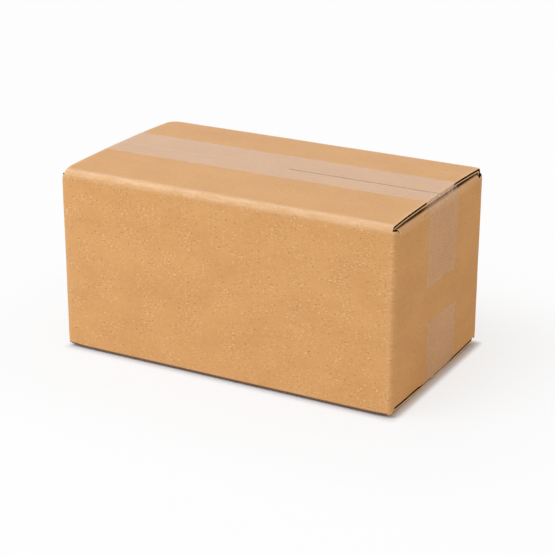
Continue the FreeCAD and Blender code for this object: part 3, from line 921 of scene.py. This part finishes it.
def make_fluting(tree, name, points, through, width, height):
    """One ribbon of fluting along points at the middle of the board."""
    mesh = bpy.data.meshes.new(name)
    mesh.from_pydata([Vector(p) * METRES_PER_MM for p in points],
                     [(i, i + 1) for i in range(len(points) - 1)], [])
    attribute = mesh.attributes.new("through", "FLOAT_VECTOR", "POINT")
    for item, direction in zip(attribute.data, through):
        item.vector = direction
    line = add_object(name, mesh)
    modifier = line.modifiers.new("fluting", "NODES")
    modifier.node_group = tree
    set_input(modifier, "Pitch", FLUTE_PITCH * METRES_PER_MM)
    set_input(modifier, "Wave Height", (BOARD - 2 * LINER - MEDIUM) / 2 * METRES_PER_MM)
    set_input(modifier, "Profile Width", width * METRES_PER_MM)
    set_input(modifier, "Profile Height", height * METRES_PER_MM)
    set_input(modifier, "Step", FLUTING_STEP * METRES_PER_MM)
    evaluated = line.evaluated_get(bpy.context.evaluated_depsgraph_get())
    ribbon = bpy.data.meshes.new_from_object(evaluated)
    bpy.data.objects.remove(line)
    return ribbon


def make_seam_fluting(material):
    """The fluting behind the four seam edges, joined as one piece, dark with painted shade."""
    tree = fluting_tree(material)
    work = bmesh.new()
    for face, way in ((TOP_FACE, 1), (BOTTOM_FACE, -1)):
        for sign in (1, -1):
            depth = CUT_RECESS - 0.1
            height = face - way * BOARD / 2
            y = sign * (SEAM_GAP / 2 + 0.1 + depth / 2)
            reach = FLAP_END - FLUTING_INSET
            points = [(x, y, height) for x in steps(-reach, reach, 40.0)]
            ribbon = make_fluting(tree, "seam_fluting_line", points,
                                  [(0, 0, way)] * len(points), depth, MEDIUM)
            work.from_mesh(ribbon)
            bpy.data.meshes.remove(ribbon)
    bmesh.ops.recalc_face_normals(work, faces=work.faces)
    mesh = bpy.data.meshes.new("seam_fluting")
    work.to_mesh(mesh)
    work.free()
    mesh.materials.clear()
    mesh.materials.append(material)
    return add_object("seam_fluting", mesh)


# The room. Sizes of the floor are in metres.

def seen_directly(tree):
    """1 for rays that show the room itself: from the camera, in a gloss or through a film."""
    rays = add_node(tree, "ShaderNodeLightPath").outputs
    seen = rays["Is Camera Ray"]
    for kind in ("Is Glossy Ray", "Is Transmission Ray"):
        seen = add_node(tree, "ShaderNodeMath", {0: seen, 1: rays[kind]}, operation="MAXIMUM")
        seen = seen.outputs[0]
    return seen


def make_floor():
    """A plain white paper floor.

    Beside the carton it shows only its real shading. Farther off a growing share of it is its own
    light, so that the carton's shadow stays as pale as in a bright room.
    """
    mesh = bpy.data.meshes.new("floor")
    reach = 30.0
    mesh.from_pydata([(-reach, -reach, 0), (reach, -reach, 0), (reach, reach, 0),
                      (-reach, reach, 0)], [], [(0, 1, 2, 3)])
    material, tree = new_material("matte_white_paper_sweep")
    seen = seen_directly(tree)
    glow = add_node(tree, "ShaderNodeEmission", {"Color": paint("#ffffff"), "Strength": 1.0})
    paper = add_node(tree, "ShaderNodeBsdfDiffuse", {"Color": paint("#f2f2f3")})
    place = add_node(tree, "ShaderNodeTexCoord").outputs["Object"]
    middle = Vector((FLAP_SET_IN / 2, 0, 0)) * METRES_PER_MM
    outside = add_node(tree, "ShaderNodeVectorMath", {0: place, 1: middle}, operation="SUBTRACT")
    outside = add_node(tree, "ShaderNodeVectorMath", {
        0: outside.outputs["Vector"]}, operation="ABSOLUTE")
    outside = add_node(tree, "ShaderNodeVectorMath", {
        0: outside.outputs["Vector"],
        1: Vector((HALF_LENGTH - FLAP_SET_IN / 2, HALF_DEPTH, 0)) * METRES_PER_MM},
        operation="SUBTRACT")
    outside = add_node(tree, "ShaderNodeVectorMath", {
        0: outside.outputs["Vector"], 1: (0, 0, 0)}, operation="MAXIMUM")
    distance = add_node(tree, "ShaderNodeVectorMath", {
        0: outside.outputs["Vector"]}, operation="LENGTH").outputs["Value"]
    near, far = (add_node(tree, "ShaderNodeMapRange", {
        "Value": distance, "From Min": start * METRES_PER_MM, "From Max": finish * METRES_PER_MM,
        "To Min": 0.0, "To Max": most}, interpolation_type="SMOOTHSTEP").outputs["Result"]
        for start, finish, most in ((0.0, 6.5, 0.74), (6.5, 150.0, 0.18)))
    most = add_node(tree, "ShaderNodeMath", {0: near, 1: far}, operation="ADD").outputs[0]
    share = add_node(tree, "ShaderNodeMath", {0: seen, 1: most}, operation="MULTIPLY").outputs[0]
    mix = add_node(tree, "ShaderNodeMixShader", {
        0: share, 1: paper.outputs[0], 2: glow.outputs[0]})
    add_node(tree, "ShaderNodeOutputMaterial", {"Surface": mix.outputs[0]})
    mesh.materials.append(material)
    add_object("floor", mesh)


def light_room():
    """A white room, warm where it lights the carton, with a high window and a softbox."""
    world = bpy.data.worlds.new("white_room")
    world.use_nodes = True
    tree = world.node_tree
    tree.nodes.clear()
    seen = seen_directly(tree)
    strength = add_node(tree, "ShaderNodeMapRange", {
        "Value": seen, "To Min": 0.62, "To Max": 1.0}).outputs["Result"]
    tint = add_node(tree, "ShaderNodeMix", {
        "Factor": seen, 6: paint("#fff4e5"), 7: paint("#ffffff")}, data_type="RGBA").outputs[2]
    background = add_node(tree, "ShaderNodeBackground", {"Color": tint, "Strength": strength})
    add_node(tree, "ShaderNodeOutputWorld", {"Surface": background.outputs[0]})
    bpy.context.scene.world = world

    sun = bpy.data.lights.new("high_window", "SUN")
    sun.energy = 1.45
    sun.color = paint("#d9eaff")[:3]
    sun.angle = math.radians(50)
    lamp = add_object("high_window", sun)
    lamp.rotation_euler = Vector((-0.28, -0.50, 0.82)).to_track_quat("Z", "Y").to_euler()

    panel = bpy.data.lights.new("near_softbox", "AREA")
    panel.energy = 0.95
    panel.color = paint("#f1f6ff")[:3]
    panel.size = 0.5
    softbox = add_object("near_softbox", panel)
    place, middle = Vector((-350, -520, 500)), Vector((0, 0, 70))
    softbox.location = place * METRES_PER_MM
    softbox.rotation_euler = (place - middle).to_track_quat("Z", "Y").to_euler()


def place_camera():
    """The photograph's camera: a 110 mm lens a little above and right of the carton."""
    camera = bpy.data.cameras.new("camera")
    camera.sensor_width = 36.0
    camera.lens = 110.15
    camera.clip_end = 100.0
    azimuth, elevation, roll = (math.radians(a) for a in (28.43, 20.86, 0.18))
    turn = (Matrix.Rotation(azimuth, 4, "Z") @ Matrix.Rotation(math.pi / 2 - elevation, 4, "X")
            @ Matrix.Rotation(roll, 4, "Z"))
    place = Vector((563.8, -1033.4, 502.5)) * METRES_PER_MM
    eye = add_object("camera", camera)
    eye.matrix_world = Matrix.Translation(place) @ turn
    bpy.context.scene.camera = eye


def main():
    liner, cut_edge, fluting, film = (
        kraft_liner_material(), cut_edge_material(), fluting_painted_shade_material(), tape_material())
    board = make_carton([liner, cut_edge, fluting])
    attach(board, "root")
    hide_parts("carton")

    seam = make_seam_fluting(fluting)
    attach(seam, "root")

    top = make_tape("tape_top_film", film, TOP_TAPE_OFFSET, TOP_FACE, TOP_INNER_FACE,
                    TOP_TAIL_END, 1, 3.0)
    bottom = make_tape("tape_bottom_film", film, BOTTOM_TAPE_OFFSET, BOTTOM_FACE,
                       BOTTOM_INNER_FACE, BOTTOM_TAIL_END, -1, 29.0)
    for strip, node in ((top, "tape_top"), (bottom, "tape_bottom")):
        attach(strip, "root")
        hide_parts(node)

    make_floor()
    light_room()
    place_camera()
    bpy.context.scene.view_settings.view_transform = "Standard"
    for piece in (board, seam, top, bottom):
        print(piece.name, len(piece.data.polygons), "faces")


main()
